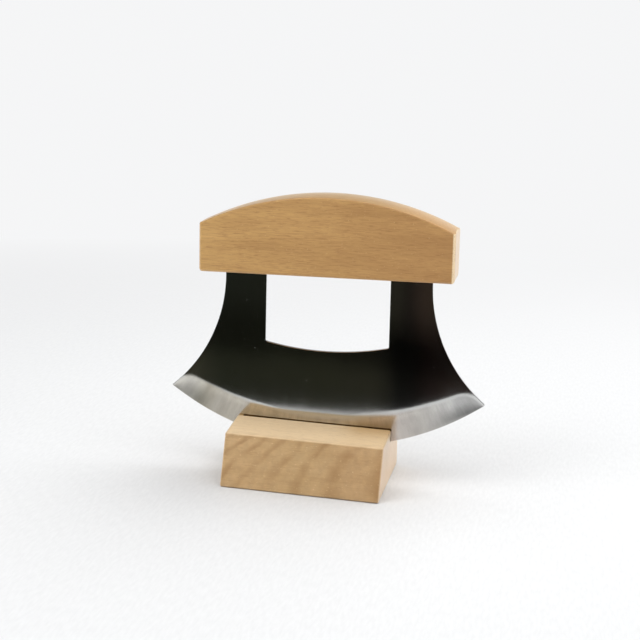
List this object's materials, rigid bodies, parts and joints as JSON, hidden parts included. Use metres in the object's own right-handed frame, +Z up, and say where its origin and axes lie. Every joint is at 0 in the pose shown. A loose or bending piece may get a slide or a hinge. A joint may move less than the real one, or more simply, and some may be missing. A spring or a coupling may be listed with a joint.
{
  "type": "ulu knife",
  "caption": "Ulu knife: curved steel blade on twin tangs under an arched wooden handle, standing edge down in the slot of a small wooden block.",
  "frame": {"origin": "centre of the stand's flat base, on the surface that the stand rests on", "axes": "+X along the knife to the right as seen from its front, +Y away from its front, +Z up"},
  "size_m": [0.1517, 0.0656, 0.1372],
  "materials": {
    "blade_steel": "polished faces, satin ground bevels",
    "handle_wood": "sanded, thin clear satin finish",
    "tang_adhesive": "cured",
    "stand_wood": "sanded, bare or oiled"
  },
  "bodies": {
    "stand": {"stand": "stand_wood"},
    "knife": {"blade": "blade_steel", "handle": "handle_wood", "left_tang_bond": "tang_adhesive", "right_tang_bond": "tang_adhesive"}
  },
  "joints": [
    {"name": "knife_lift", "type": "slide", "parent": "stand", "child": "knife", "axis": [0, 0, 1], "range_m": [0, 0.06]}
  ]
}
